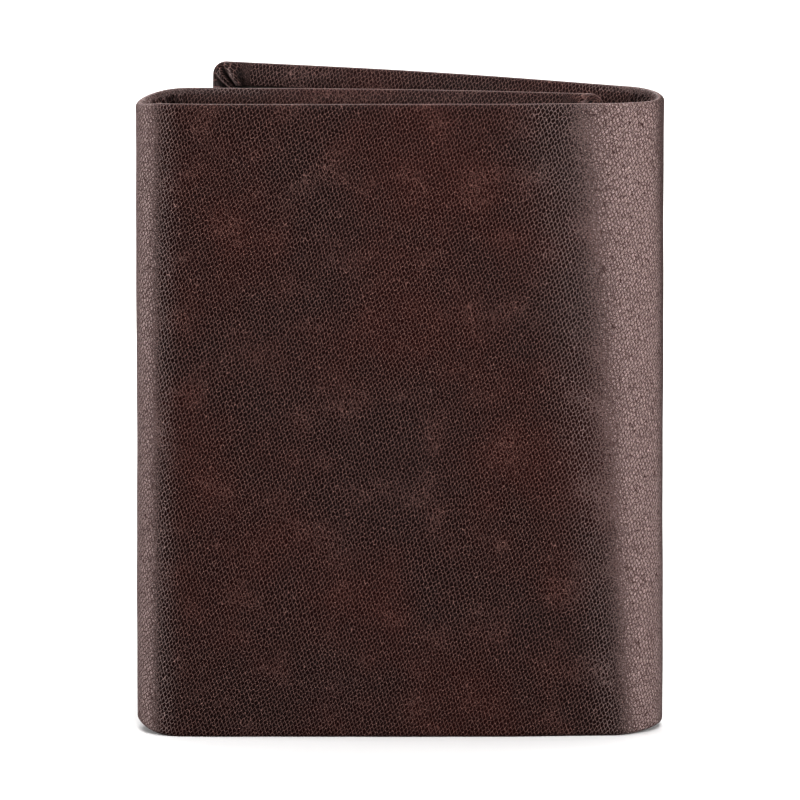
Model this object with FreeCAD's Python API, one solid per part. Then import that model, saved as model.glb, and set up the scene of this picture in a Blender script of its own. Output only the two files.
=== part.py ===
import FreeCAD, Part
import math
import os

# Trifold wallet in turned-edge leather, closed and standing on its bottom edges.
# +X runs along the centre panel, +Y from its outer face towards the folded flaps, +Z up.
# The origin is the middle of the bounding box's base.  Millimetres and degrees.

# Overall size, closed
WIDTH = 83.0
HEIGHT = 101.6

# Bends of the outer skin at the two folds, and how the two flaps lie
RIGHT_RADIUS = 8.5
LEFT_FRONT_RADIUS = 6.5
LEFT_BACK_RADIUS = 8.75
OUTER_FLAP_AJAR = 18.5
INNER_FLAP_LEAN = 4.5
OUTER_FLAP_LENGTH = 68.7
INNER_FLAP_LENGTH = 64.4
FLAP_CORNER_RADIUS = 3.0

# Sheets that make up a panel, by thickness, from the outer skin inwards
SKIN = 0.9
BOARD = 0.4
HEM = 0.7
LINING = 0.3
BILL_GAP = 0.5
INTERIOR = 0.3
POCKET_FABRIC = 0.15
POCKET_LEATHER = 0.5
FILM = 0.25

# Widths of the turned hem and of the bill compartment's closed rim
HEM_WIDTH = 3.6
RIM_WIDTH = 2.5

# How far the bill compartment's mouth and the ends of the fold leather stop short of the edges
BILL_MOUTH_DROP = 6.0
SPINE_DROP = 0.5

# Angle left free on each side of a hinge line
CUT_GAP = 0.8

# Card pockets: each lip is one step lower than the one behind it
POCKET_COUNT = 3
TOP_LIP = 85.0
LIP_STEP = 11.0
FACING_DROP = 16.0
FABRIC_FLOOR = 20.0
POCKET_BOTTOM = 1.5
SIDE_MARGIN = 2.0

# Identity-card window in the inner flap
WINDOW_WIDTH = 44.0
WINDOW_HEIGHT = 70.0
WINDOW_BOTTOM = 10.0
FRAME_TOP = 90.0
SLIP_TOP = 94.0
NOTCH_RADIUS = 7.0

# Stitches
STITCH_LENGTH = 2.3
STITCH_PITCH = 3.4
STITCH_WIDTH = 0.45
STITCH_PROUD = 0.25
STITCH_INSET = 1.6

# Depths of the layers below the outer skin
HEM_DEPTH = SKIN + BOARD
SHELL_DEPTH = HEM_DEPTH + HEM
PANEL_DEPTH = SHELL_DEPTH + BILL_GAP
POCKET_DEPTH = PANEL_DEPTH + INTERIOR
POCKET_STEP = POCKET_FABRIC + POCKET_LEATHER

# Half of each fold's turn: one hinge line bends each half
RIGHT_HALF_TURN = (180.0 - OUTER_FLAP_AJAR) / 2
LEFT_FRONT_TURN = 90.0
LEFT_BACK_TURN = 90.0 + INNER_FLAP_LEAN

UP = FreeCAD.Vector(0, 0, 1)


def polar(centre, radius, angle):
    """Point at a polar angle round a vertical line through centre."""
    turn = math.radians(angle)
    return centre + FreeCAD.Vector(radius * math.cos(turn), radius * math.sin(turn), 0)


def hinge_point(centre, radius, middle, turn):
    """Hinge line that unrolls a bend flat without stretching its skin."""
    reach = radius * math.radians(turn) / (2 * math.sin(math.radians(turn / 2)))
    return polar(centre, reach, middle)


# Centres of the bends, with the centre panel's outer face at y = 0 until everything is moved
RIGHT_BEND = FreeCAD.Vector(WIDTH / 2 - RIGHT_RADIUS, RIGHT_RADIUS, 0)
LEFT_FRONT_BEND = FreeCAD.Vector(LEFT_FRONT_RADIUS - WIDTH / 2, LEFT_FRONT_RADIUS, 0)
LEFT_BACK_BEND = FreeCAD.Vector(LEFT_BACK_RADIUS - WIDTH / 2, LEFT_FRONT_RADIUS, 0)

# Polar angles along the bends, anticlockwise round the wallet
RIGHT_START = -90.0
RIGHT_FIRST_MIDDLE = RIGHT_START + RIGHT_HALF_TURN / 2
RIGHT_SECOND_MIDDLE = RIGHT_START + RIGHT_HALF_TURN * 1.5
RIGHT_END = RIGHT_START + RIGHT_HALF_TURN * 2
LEFT_BACK_START = 180.0 - LEFT_BACK_TURN
LEFT_BACK_MIDDLE = LEFT_BACK_START + LEFT_BACK_TURN / 2
LEFT_SIDE = 180.0
LEFT_FRONT_MIDDLE = LEFT_SIDE + LEFT_FRONT_TURN / 2
LEFT_FRONT_END = LEFT_SIDE + LEFT_FRONT_TURN

# Straight stretches of the skin: start point, heading and length, inwards on the left
CENTRE_LENGTH = WIDTH - RIGHT_RADIUS - LEFT_FRONT_RADIUS
CENTRE_LINE = (polar(LEFT_FRONT_BEND, LEFT_FRONT_RADIUS, LEFT_FRONT_END), 0.0, CENTRE_LENGTH)
OUTER_LINE = (polar(RIGHT_BEND, RIGHT_RADIUS, RIGHT_END), 180.0 - OUTER_FLAP_AJAR, OUTER_FLAP_LENGTH)
INNER_FOLD_END = polar(LEFT_BACK_BEND, LEFT_BACK_RADIUS, LEFT_BACK_START)
INNER_HEADING = 180.0 - INNER_FLAP_LEAN
INNER_FREE_END = INNER_FOLD_END - polar(FreeCAD.Vector(), INNER_FLAP_LENGTH, INNER_HEADING)
INNER_LINE = (INNER_FREE_END, INNER_HEADING, INNER_FLAP_LENGTH)

# Bent stretches: centre, radius and the polar angles they run between
CENTRE_BENDS = [
    (LEFT_FRONT_BEND, LEFT_FRONT_RADIUS, LEFT_FRONT_MIDDLE + CUT_GAP, LEFT_FRONT_END),
    (RIGHT_BEND, RIGHT_RADIUS, RIGHT_START, RIGHT_FIRST_MIDDLE - CUT_GAP),
]
RIGHT_SPINE_BENDS = [
    (RIGHT_BEND, RIGHT_RADIUS, RIGHT_FIRST_MIDDLE + CUT_GAP, RIGHT_SECOND_MIDDLE - CUT_GAP),
]
LEFT_SPINE_BENDS = [
    (LEFT_BACK_BEND, LEFT_BACK_RADIUS, LEFT_BACK_MIDDLE + CUT_GAP, LEFT_SIDE),
    (LEFT_FRONT_BEND, LEFT_FRONT_RADIUS, LEFT_SIDE, LEFT_FRONT_MIDDLE - CUT_GAP),
]
OUTER_BENDS = [(RIGHT_BEND, RIGHT_RADIUS, RIGHT_SECOND_MIDDLE + CUT_GAP, RIGHT_END)]
INNER_BENDS = [(LEFT_BACK_BEND, LEFT_BACK_RADIUS, LEFT_BACK_START, LEFT_BACK_MIDDLE - CUT_GAP)]


def slab(line, first, last, depth, thickness, low, high):
    """Flat sheet along a straight stretch, at a depth below the skin."""
    start, heading, _length = line
    turn = math.radians(heading)
    along = FreeCAD.Vector(math.cos(turn), math.sin(turn), 0)
    inwards = FreeCAD.Vector(-math.sin(turn), math.cos(turn), 0)
    block = Part.makeBox(last - first, thickness, high - low)
    corner = start + along * first + inwards * depth + UP * low
    block.Placement = FreeCAD.Placement(corner, FreeCAD.Rotation(UP, heading))
    return block


def bend(stretch, depth, thickness, low, high):
    """Bent sheet round a fold, at a depth below the skin."""
    centre, radius, first, last = stretch
    outside = radius - depth
    inside = outside - thickness
    middle = (first + last) / 2
    outer = Part.Arc(*[polar(centre, outside, angle) for angle in (first, middle, last)])
    inner = Part.Arc(*[polar(centre, inside, angle) for angle in (last, middle, first)])
    join_out = Part.makeLine(polar(centre, outside, last), polar(centre, inside, last))
    join_in = Part.makeLine(polar(centre, inside, first), polar(centre, outside, first))
    wire = Part.Wire([outer.toShape(), join_out, inner.toShape(), join_in])
    sheet = Part.Face(wire).extrude(UP * (high - low))
    sheet.translate(UP * low)
    return sheet


def rounded(block, line, radius, free_at_end):
    """Round the top and bottom corners of a flap's free end."""
    start, heading, length = line
    tip = start
    if free_at_end:
        tip = start + polar(FreeCAD.Vector(), length, heading)
    inwards = polar(FreeCAD.Vector(), 1, heading + 90)
    corners = []
    for edge in block.Edges:
        runs_through = round(abs(edge.tangentAt(edge.FirstParameter).dot(inwards))) == 1
        middle = edge.CenterOfMass
        from_tip = math.hypot(middle.x - tip.x, middle.y - tip.y)
        if runs_through and from_tip < length / 2:
            corners.append(edge)
    return block.makeFillet(radius, corners)


def joined(shapes):
    """One solid from sheets that share faces."""
    whole = shapes[0]
    if len(shapes) > 1:
        whole = shapes[0].fuse(shapes[1:])
    return whole.removeSplitter()


def turned_bend(stretch, low, high):
    """Fold leather with its hem turned over at the top and bottom."""
    body = bend(stretch, 0, SHELL_DEPTH, low, high)
    cavity = bend(stretch, SKIN, BOARD, low + SKIN, high - SKIN)
    window = bend(stretch, HEM_DEPTH, HEM, low + HEM_WIDTH, high - HEM_WIDTH)
    return body.cut(cavity).cut(window)


def turned_centre():
    """Centre panel leather: hems at the top and bottom, bends at both ends."""
    body = slab(CENTRE_LINE, 0, CENTRE_LENGTH, 0, SHELL_DEPTH, 0, HEIGHT)
    cavity = slab(CENTRE_LINE, 0, CENTRE_LENGTH, SKIN, BOARD, SKIN, HEIGHT - SKIN)
    window = slab(CENTRE_LINE, 0, CENTRE_LENGTH, HEM_DEPTH, HEM, HEM_WIDTH, HEIGHT - HEM_WIDTH)
    flat = body.cut(cavity).cut(window)
    bends = [turned_bend(stretch, 0, HEIGHT) for stretch in CENTRE_BENDS]
    return joined([flat] + bends)


def turned_flap(line, bends, free_at_end):
    """Flap leather: hems at the top, bottom and free end, a bend at the fold."""
    length = line[2]
    inset_first = 0 if free_at_end else 1
    inset_last = 1 if free_at_end else 0
    body = rounded(slab(line, 0, length, 0, SHELL_DEPTH, 0, HEIGHT), line, FLAP_CORNER_RADIUS, free_at_end)
    cavity = rounded(
        slab(line, inset_first * SKIN, length - inset_last * SKIN, SKIN, BOARD, SKIN, HEIGHT - SKIN),
        line, FLAP_CORNER_RADIUS - SKIN, free_at_end)
    window = slab(
        line, inset_first * HEM_WIDTH, length - inset_last * HEM_WIDTH,
        HEM_DEPTH, HEM, HEM_WIDTH, HEIGHT - HEM_WIDTH)
    flat = body.cut(cavity).cut(window)
    return joined([flat] + [turned_bend(stretch, 0, HEIGHT) for stretch in bends])


def stiffener(line, free_at_start, free_at_end):
    """Board that fills the slot between a panel's leather and its hem."""
    first = SKIN if free_at_start else 0
    last = line[2] - (SKIN if free_at_end else 0)
    board = slab(line, first, last, SKIN, BOARD, SKIN, HEIGHT - SKIN)
    if free_at_start or free_at_end:
        board = rounded(board, line, FLAP_CORNER_RADIUS - SKIN, free_at_end)
    return board


def lining(line, bends, first_inset, last_inset):
    """Lining of the bill compartment, inside the hem's window."""
    low = HEM_WIDTH
    high = HEIGHT - HEM_WIDTH
    sheets = [slab(line, first_inset, line[2] - last_inset, HEM_DEPTH, LINING, low, high)]
    sheets += [bend(stretch, HEM_DEPTH, LINING, low, high) for stretch in bends]
    return joined(sheets)


def spine_lining(bends):
    """Lining of the bill compartment across a fold, between the hems of the shorter fold leather."""
    low = SPINE_DROP + HEM_WIDTH
    high = HEIGHT - SPINE_DROP - HEM_WIDTH
    return joined([bend(stretch, HEM_DEPTH, LINING, low, high) for stretch in bends])


def interior_panel(line, bends, closed_first, closed_last):
    """Inner wall of the bill compartment, with the rim that closes it below and at a free end."""
    top = HEIGHT - BILL_MOUTH_DROP
    length = line[2]
    first = SKIN if closed_first else 0
    last = length - (SKIN if closed_last else 0)
    parts = [slab(line, first, last, PANEL_DEPTH, INTERIOR, POCKET_BOTTOM, top)]
    rim_top = POCKET_BOTTOM + RIM_WIDTH
    parts.append(slab(line, first, last, SHELL_DEPTH, BILL_GAP, POCKET_BOTTOM, rim_top))
    if closed_first:
        parts.append(slab(line, first, first + RIM_WIDTH, SHELL_DEPTH, BILL_GAP, POCKET_BOTTOM, top))
    if closed_last:
        parts.append(slab(line, last - RIM_WIDTH, last, SHELL_DEPTH, BILL_GAP, POCKET_BOTTOM, top))
    parts += [bend(stretch, PANEL_DEPTH, INTERIOR, POCKET_BOTTOM, top) for stretch in bends]
    return joined(parts)


def gusset(bends):
    """Inner wall of the bill compartment across a fold."""
    top = HEIGHT - BILL_MOUTH_DROP
    return joined([bend(stretch, PANEL_DEPTH, INTERIOR, POCKET_BOTTOM, top) for stretch in bends])


def lip_height(number):
    """Height of a card pocket's lip; pocket 0 is the one at the back."""
    return TOP_LIP - LIP_STEP * number


def card_pockets(line, first, last, prefix):
    """Stepped card pockets: a fabric back and a leather facing each."""
    nodes = {}
    for number in range(POCKET_COUNT):
        depth = POCKET_DEPTH + POCKET_STEP * number
        lip = lip_height(number)
        is_front = number == POCKET_COUNT - 1
        facing_low = POCKET_BOTTOM if is_front else lip - FACING_DROP
        nodes[f"{prefix}_pocket_fabric_{number + 1}"] = slab(
            line, first, last, depth, POCKET_FABRIC, FABRIC_FLOOR, lip - RIM_WIDTH)
        nodes[f"{prefix}_card_pocket_{number + 1}"] = slab(
            line, first, last, depth + POCKET_FABRIC, POCKET_LEATHER, facing_low, lip)
    return nodes


def pocket_surface(height):
    """Depth of the pockets' visible face at a height."""
    depth = POCKET_DEPTH
    for number in range(POCKET_COUNT):
        if height < lip_height(number):
            depth = POCKET_DEPTH + POCKET_STEP * (number + 1)
    return depth


def window_surface(height):
    """Depth of the identity window frame's visible face at a height."""
    frame_depth = POCKET_DEPTH + POCKET_LEATHER + FILM + POCKET_LEATHER
    slip_depth = POCKET_DEPTH + POCKET_LEATHER
    return frame_depth if height < FRAME_TOP else slip_depth


def stitch_columns(line, columns, top, surface):
    """Rows of thread down the sides of the pockets."""
    stitches = []
    count = int((top - POCKET_BOTTOM - STITCH_INSET) / STITCH_PITCH)
    for column in columns:
        for number in range(count):
            low = POCKET_BOTTOM + STITCH_INSET + STITCH_PITCH * number
            depth = max(surface(low), surface(low + STITCH_LENGTH))
            if surface(low) == surface(low + STITCH_LENGTH):
                stitches.append(slab(
                    line, column, column + STITCH_WIDTH, depth, STITCH_PROUD, low, low + STITCH_LENGTH))
    return Part.makeCompound(stitches)


def window_frame(line, first, last, depth):
    """Leather frame with the identity window and a thumb notch cut in its top."""
    start, heading, _length = line
    sheet = slab(line, first, last, depth, POCKET_LEATHER, POCKET_BOTTOM, FRAME_TOP)
    middle = (first + last) / 2
    opening = slab(
        line, middle - WINDOW_WIDTH / 2, middle + WINDOW_WIDTH / 2, depth, POCKET_LEATHER,
        WINDOW_BOTTOM, WINDOW_BOTTOM + WINDOW_HEIGHT)
    inwards = polar(FreeCAD.Vector(), 1, heading + 90)
    centre = start + polar(FreeCAD.Vector(), middle, heading) + inwards * depth + UP * FRAME_TOP
    notch = Part.makeCylinder(NOTCH_RADIUS, POCKET_LEATHER, centre, inwards)
    return sheet.cut(opening).cut(notch)


def centre_nodes():
    """Everything that belongs to the centre panel."""
    first = SIDE_MARGIN
    last = CENTRE_LENGTH - SIDE_MARGIN
    columns = (first + STITCH_INSET, last - STITCH_INSET - STITCH_WIDTH)
    nodes = {
        "centre_shell": turned_centre(),
        "centre_stiffener": stiffener(CENTRE_LINE, False, False),
        "centre_lining": lining(CENTRE_LINE, CENTRE_BENDS, 0, 0),
        "centre_interior_panel": interior_panel(CENTRE_LINE, CENTRE_BENDS, False, False),
        "centre_stitching": stitch_columns(CENTRE_LINE, columns, TOP_LIP, pocket_surface),
    }
    nodes.update(card_pockets(CENTRE_LINE, first, last, "centre"))
    return nodes


def outer_flap_nodes():
    """Everything that belongs to the outer flap."""
    first = SIDE_MARGIN
    last = OUTER_FLAP_LENGTH - SIDE_MARGIN
    columns = (first + STITCH_INSET, last - STITCH_INSET - STITCH_WIDTH)
    nodes = {
        "outer_flap_shell": turned_flap(OUTER_LINE, OUTER_BENDS, True),
        "outer_flap_stiffener": stiffener(OUTER_LINE, False, True),
        "outer_flap_lining": lining(OUTER_LINE, OUTER_BENDS, 0, HEM_WIDTH),
        "outer_flap_interior_panel": interior_panel(OUTER_LINE, OUTER_BENDS, False, True),
        "outer_flap_stitching": stitch_columns(OUTER_LINE, columns, TOP_LIP, pocket_surface),
    }
    nodes.update(card_pockets(OUTER_LINE, first, last, "outer_flap"))
    return nodes


def inner_flap_nodes():
    """Everything that belongs to the inner flap."""
    first = SIDE_MARGIN
    last = INNER_FLAP_LENGTH - SIDE_MARGIN
    columns = (first + STITCH_INSET, last - STITCH_INSET - STITCH_WIDTH)
    film_depth = POCKET_DEPTH + POCKET_LEATHER
    frame_depth = film_depth + FILM
    middle = (first + last) / 2
    film_half = WINDOW_WIDTH / 2 + RIM_WIDTH
    nodes = {
        "inner_flap_shell": turned_flap(INNER_LINE, INNER_BENDS, False),
        "inner_flap_stiffener": stiffener(INNER_LINE, True, False),
        "inner_flap_lining": lining(INNER_LINE, INNER_BENDS, HEM_WIDTH, 0),
        "inner_flap_interior_panel": interior_panel(INNER_LINE, INNER_BENDS, True, False),
        "inner_flap_slip_pocket": slab(
            INNER_LINE, first, last, POCKET_DEPTH, POCKET_LEATHER, POCKET_BOTTOM, SLIP_TOP),
        "id_window_film": slab(
            INNER_LINE, middle - film_half, middle + film_half, film_depth, FILM,
            WINDOW_BOTTOM - RIM_WIDTH, WINDOW_BOTTOM + WINDOW_HEIGHT + RIM_WIDTH),
        "id_window_frame": window_frame(INNER_LINE, first, last, frame_depth),
        "inner_flap_stitching": stitch_columns(INNER_LINE, columns, FRAME_TOP, window_surface),
    }
    return nodes


def spine_nodes(side, bends):
    """The leather, lining and inner wall that turn between two panels."""
    low = SPINE_DROP
    high = HEIGHT - SPINE_DROP
    return {
        f"{side}_fold_leather": joined([turned_bend(stretch, low, high) for stretch in bends]),
        f"{side}_fold_lining": spine_lining(bends),
        f"{side}_fold_gusset": gusset(bends),
    }


def main():
    os.makedirs("parts", exist_ok=True)
    nodes = {}
    nodes.update(centre_nodes())
    nodes.update(spine_nodes("right", RIGHT_SPINE_BENDS))
    nodes.update(outer_flap_nodes())
    nodes.update(spine_nodes("left", LEFT_SPINE_BENDS))
    nodes.update(inner_flap_nodes())

    depth = Part.makeCompound(list(nodes.values())).BoundBox.YMax
    to_origin = FreeCAD.Vector(0, -depth / 2, 0)
    for name, shape in nodes.items():
        shape.translate(to_origin)
        shape.exportStep(f"parts/{name}.step")
        print(name, len(shape.Solids), round(shape.Volume, 1), shape.isValid())

    hinges = {
        "right_spine_fold": hinge_point(RIGHT_BEND, RIGHT_RADIUS, RIGHT_FIRST_MIDDLE, RIGHT_HALF_TURN),
        "outer_flap_fold": hinge_point(RIGHT_BEND, RIGHT_RADIUS, RIGHT_SECOND_MIDDLE, RIGHT_HALF_TURN),
        "left_spine_fold": hinge_point(
            LEFT_FRONT_BEND, LEFT_FRONT_RADIUS, LEFT_FRONT_MIDDLE, LEFT_FRONT_TURN),
        "inner_flap_fold": hinge_point(
            LEFT_BACK_BEND, LEFT_BACK_RADIUS, LEFT_BACK_MIDDLE, LEFT_BACK_TURN),
    }
    for name, point in hinges.items():
        place = point + to_origin
        print(name, round(place.x, 3), round(place.y, 3))
    print("depth", round(depth, 3))


main()
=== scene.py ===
import math
from collections import namedtuple

import bmesh
import bpy
import numpy as np
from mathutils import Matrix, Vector


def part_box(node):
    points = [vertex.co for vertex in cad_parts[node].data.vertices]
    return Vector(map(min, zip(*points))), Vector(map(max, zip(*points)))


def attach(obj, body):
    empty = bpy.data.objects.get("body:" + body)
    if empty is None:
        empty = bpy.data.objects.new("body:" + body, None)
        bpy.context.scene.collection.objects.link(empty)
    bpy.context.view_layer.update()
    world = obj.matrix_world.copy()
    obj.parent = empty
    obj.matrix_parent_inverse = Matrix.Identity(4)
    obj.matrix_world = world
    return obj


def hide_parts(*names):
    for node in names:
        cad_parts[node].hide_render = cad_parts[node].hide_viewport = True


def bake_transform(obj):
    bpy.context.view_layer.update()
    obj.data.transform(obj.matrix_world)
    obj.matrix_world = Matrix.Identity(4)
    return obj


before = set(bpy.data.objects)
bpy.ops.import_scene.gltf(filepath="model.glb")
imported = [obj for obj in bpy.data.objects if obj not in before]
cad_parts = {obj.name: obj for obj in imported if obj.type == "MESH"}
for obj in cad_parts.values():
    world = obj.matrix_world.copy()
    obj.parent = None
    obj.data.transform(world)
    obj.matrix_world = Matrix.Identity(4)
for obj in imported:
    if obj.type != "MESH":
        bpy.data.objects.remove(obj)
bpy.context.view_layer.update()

# Everything is worked out in millimetres in "leather coordinates": the station runs along the
# outer skin from the inner flap's free end to the outer flap's, z is the height, and depth is
# measured inwards from the skin.  place() turns them into metres in the frame.
MM = 0.001
WIDTH = 83.0
FRONT_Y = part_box("centre_shell")[0].y / MM
HEIGHT = (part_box("centre_shell")[1].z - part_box("centre_shell")[0].z) / MM

# The folds and flaps
RIGHT_RADIUS = 8.5
LEFT_FRONT_RADIUS = 6.5
LEFT_BACK_RADIUS = 8.75
AJAR = math.radians(18.5)
LEAN = math.radians(4.5)
OUTER_LENGTH = 68.7
INNER_LENGTH = 64.4
CENTRE_LENGTH = WIDTH - RIGHT_RADIUS - LEFT_FRONT_RADIUS
RIGHT_TURN = math.pi - AJAR
BACK_TURN = math.pi / 2 + LEAN
FRONT_TURN = math.pi / 2

# Stations along the skin; zero is the left end of the centre panel's flat
LEFT_SIDE = -LEFT_FRONT_RADIUS * FRONT_TURN
INNER_FOLD = LEFT_SIDE - LEFT_BACK_RADIUS * BACK_TURN
INNER_END = INNER_FOLD - INNER_LENGTH
RIGHT_SIDE = CENTRE_LENGTH + RIGHT_RADIUS * RIGHT_TURN / 2
OUTER_FOLD = CENTRE_LENGTH + RIGHT_RADIUS * RIGHT_TURN
OUTER_END = OUTER_FOLD + OUTER_LENGTH
FLAT_MARGIN = 2.0

# Layers, by depth below the skin
SKIN = 0.9
SLOT = 1.3
SHELL = 2.0
PANEL = 2.5
POCKET = 2.8

# Thicknesses of what lies below the skin, and the depth from one card pocket to the next
LINING = 0.28
WALL = 0.3
FABRIC = 0.15
FACING = 0.5
FILM = 0.25
STEP = 0.65

# Turned edge: rim, hem and the rounded corners of the flaps
RIM_RADIUS = 0.72
HEM_WIDTH = 3.6
HEM_TAPER = 1.2
SLOT_END = 1.7
EDGE_ZONE = 6.5
CORNER_RADIUS = 2.2
TIGHTEST_CORNER = 0.5

# Gathers in the hem: their heights, and over how many of the hem's rings they grow
FOLD_PLEAT = 0.85
CORNER_PLEAT = 0.7
CORNER_PLEAT_REACH = 1.6
PLEAT_START = 4
PLEAT_EASE = 7

# How polished and how pale a hem is, the paleness partly wear and partly painted light; the painted
# highlight on its gathers' ridges and the painted shade in the hollows between them
HEM_POLISH_AND_SHEEN = 0.04
HEM_WEAR_AND_PAINTED_LIGHT = 0.4
GATHER_HIGHLIGHT = 0.6
HOLLOW_SHADE = 0.8

# How the soft leather departs from flat, at rest
OUTER_BOW = 1.7
INNER_BOW = 1.2
BOW_SHAPE = 1.3
LEFT_BOTTOM_RISE = 1.55
RIGHT_BOTTOM_RISE = 0.75
LEFT_TOP_DIP = 0.8
RIGHT_TOP_DIP = 0.25
RISE_REACH = 26.0
RISE_SHAPE = 1.5

# Each roll: the stations where it begins, is deepest and ends, and its depth
RIGHT_ROLL = (50.0, 71.0, 79.0, 0.85)
LEFT_ROLL = (7.0, -2.5, -7.5, 0.28)

# Painted sheen of each fold, which stands also for its polish: the station where it begins and how far
# that moves down the height, the station where it is full and how far that moves, and the length over
# which it fades again
RIGHT_POLISH_SHEEN = (40.0, 18.0, 72.0, 4.0, 5.0)
LEFT_POLISH_SHEEN = (4.5, -1.0, -6.5, 0.0, -8.0)
POLISH_SHEEN_SHAPE = 2.6
POLISH_SHEEN_BULGE = 0.6
POLISH_SHEEN_FADE = 0.4
POLISH_SHEEN_LEFT_OVER = 0.5
POLISH_SHEEN_PAST_FOLD = 2.4


# ---------------------------------------------------------------- the path of the skin

def path_stretches():
    """(first, last, anchor station, anchor point, anchor heading, curvature) along the skin."""
    start = np.array([LEFT_FRONT_RADIUS - WIDTH / 2, FRONT_Y])
    rows = [(0.0, CENTRE_LENGTH, 0.0, start, 0.0, 0.0)]
    end = start + np.array([CENTRE_LENGTH, 0.0])
    rows.append((CENTRE_LENGTH, OUTER_FOLD, CENTRE_LENGTH, end, 0.0, 1 / RIGHT_RADIUS))
    fold = along(rows[-1], OUTER_FOLD)
    rows.append((OUTER_FOLD, OUTER_END, OUTER_FOLD, fold, RIGHT_TURN, 0.0))
    rows.append((LEFT_SIDE, 0.0, 0.0, start, 0.0, 1 / LEFT_FRONT_RADIUS))
    side = along(rows[-1], LEFT_SIDE)
    rows.append((INNER_FOLD, LEFT_SIDE, LEFT_SIDE, side, -FRONT_TURN, 1 / LEFT_BACK_RADIUS))
    back = along(rows[-1], INNER_FOLD)
    rows.append((INNER_END, INNER_FOLD, INNER_FOLD, back, -FRONT_TURN - BACK_TURN, 0.0))
    return rows


def along(stretch, station):
    """Plan point at a station on a stretch."""
    _first, _last, anchor, point, heading, curvature = stretch
    run = station - anchor
    if curvature == 0:
        return point + run * np.array([math.cos(heading), math.sin(heading)])
    turned = heading + curvature * run
    across = math.sin(turned) - math.sin(heading)
    ahead = math.cos(heading) - math.cos(turned)
    return point + np.array([across, ahead]) / curvature


PATH = path_stretches()


def skin(station):
    """Plan point and heading of the skin at a station."""
    for stretch in PATH:
        if stretch[0] - 1e-9 <= station <= stretch[1] + 1e-9:
            heading = stretch[4] + stretch[5] * (station - stretch[2])
            return along(stretch, station), heading
    raise ValueError(f"station {station} is off the skin")


def bow(station):
    """How far a flap bows outwards at a station."""
    if station > OUTER_FOLD:
        share = min(1.0, (station - OUTER_FOLD) / OUTER_LENGTH)
        return OUTER_BOW * math.sin(math.pi * share) ** BOW_SHAPE
    if station < INNER_FOLD:
        share = min(1.0, (INNER_FOLD - station) / INNER_LENGTH)
        return INNER_BOW * math.sin(math.pi * share) ** BOW_SHAPE
    return 0.0


def roll(station):
    """How far the centre panel's face falls away as it nears a fold."""
    depth = 0.0
    for begin, deepest, finish, amount in (RIGHT_ROLL, LEFT_ROLL):
        for outer_end in (begin, finish):
            share = (station - outer_end) / (deepest - outer_end)
            within = (station - deepest) * (outer_end - deepest) >= 0
            if within and 0 < share <= 1:
                depth += amount * math.sin(share * math.pi / 2) ** 2
                break
    return depth


def polish_and_painted_light(station, z):
    """How much painted sheen lies along both folds, wider at the top; it stands also for the polish
    and greying that handling gives them.
    """
    low = 1 - z / HEIGHT
    on_right = station > CENTRE_LENGTH / 2
    begin, begin_shift, full, full_shift, fade = RIGHT_POLISH_SHEEN if on_right else LEFT_POLISH_SHEEN
    begin += begin_shift * low
    full += full_shift * low
    share = (station - begin) / (full - begin)
    if share <= 0:
        return 0.0
    if share < 1:
        return share ** POLISH_SHEEN_SHAPE * (1 + POLISH_SHEEN_BULGE - POLISH_SHEEN_BULGE * share)
    past = (station - full) / fade
    fold_end = OUTER_FOLD if on_right else INNER_FOLD
    beyond_fold = max(0.0, (station - fold_end) / (POLISH_SHEEN_PAST_FOLD * fade))
    return max(POLISH_SHEEN_LEFT_OVER, 1 - POLISH_SHEEN_FADE * past) * max(0.0, 1 - beyond_fold)


def fold_share(station):
    """0 on the panels, rising to 1 at the outermost line of each fold; and which fold."""
    if CENTRE_LENGTH < station < OUTER_FOLD:
        return math.sin(math.pi * (station - CENTRE_LENGTH) / (OUTER_FOLD - CENTRE_LENGTH)), 1
    if LEFT_SIDE < station < 0:
        return math.sin(math.pi / 2 * station / LEFT_SIDE), -1
    if INNER_FOLD < station <= LEFT_SIDE:
        return math.sin(math.pi / 2 * (station - INNER_FOLD) / (LEFT_SIDE - INNER_FOLD)), -1
    return 0.0, 0


def ripple(station, z):
    """The slight unevenness of hand-turned leather."""
    slow = math.sin(station * 0.11 + z * 0.05 + 0.6) * math.sin(z * 0.083 - station * 0.027)
    quick = math.sin(station * 0.31 - z * 0.17) * math.sin(z * 0.23 + station * 0.09 + 1.3)
    return 0.07 * slow + 0.03 * quick


def lifted(station, z):
    """Height with the folds' ends drawn up at the bottom and down at the top."""
    share, side = fold_share(station)
    if side == 0:
        return z
    rise = RIGHT_BOTTOM_RISE if side > 0 else LEFT_BOTTOM_RISE
    dip = RIGHT_TOP_DIP if side > 0 else LEFT_TOP_DIP
    near_bottom = max(0.0, 1 - z / RISE_REACH) ** RISE_SHAPE
    near_top = max(0.0, 1 - (HEIGHT - z) / RISE_REACH) ** RISE_SHAPE
    return z + share ** 3 * (rise * near_bottom - dip * near_top)


def place(station, depth, z):
    """Point of the frame, in metres."""
    point, heading = skin(station)
    inset = depth + roll(station) - bow(station) - ripple(station, z)
    x = point[0] - math.sin(heading) * inset
    y = point[1] + math.cos(heading) * inset
    return Vector((x, y, lifted(station, z))) * MM


# ---------------------------------------------------------------- meshes

def store_leather(mesh, unrolled, wear_and_highlight=None, polish_and_light_values=None):
    """Stores the unrolled coordinates, the wear with its painted highlight, and the polish with its
    painted sheen and shade, for the materials.
    """
    store = mesh.attributes.new("unrolled", "FLOAT_VECTOR", "POINT")
    store.data.foreach_set("vector", np.array(unrolled, np.float32).ravel())
    for key, values in (("wear_and_highlight", wear_and_highlight), ("polish_and_painted_light", polish_and_light_values)):
        if values is not None:
            store = mesh.attributes.new(key, "FLOAT", "POINT")
            store.data.foreach_set("value", np.array(values, np.float32))


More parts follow.
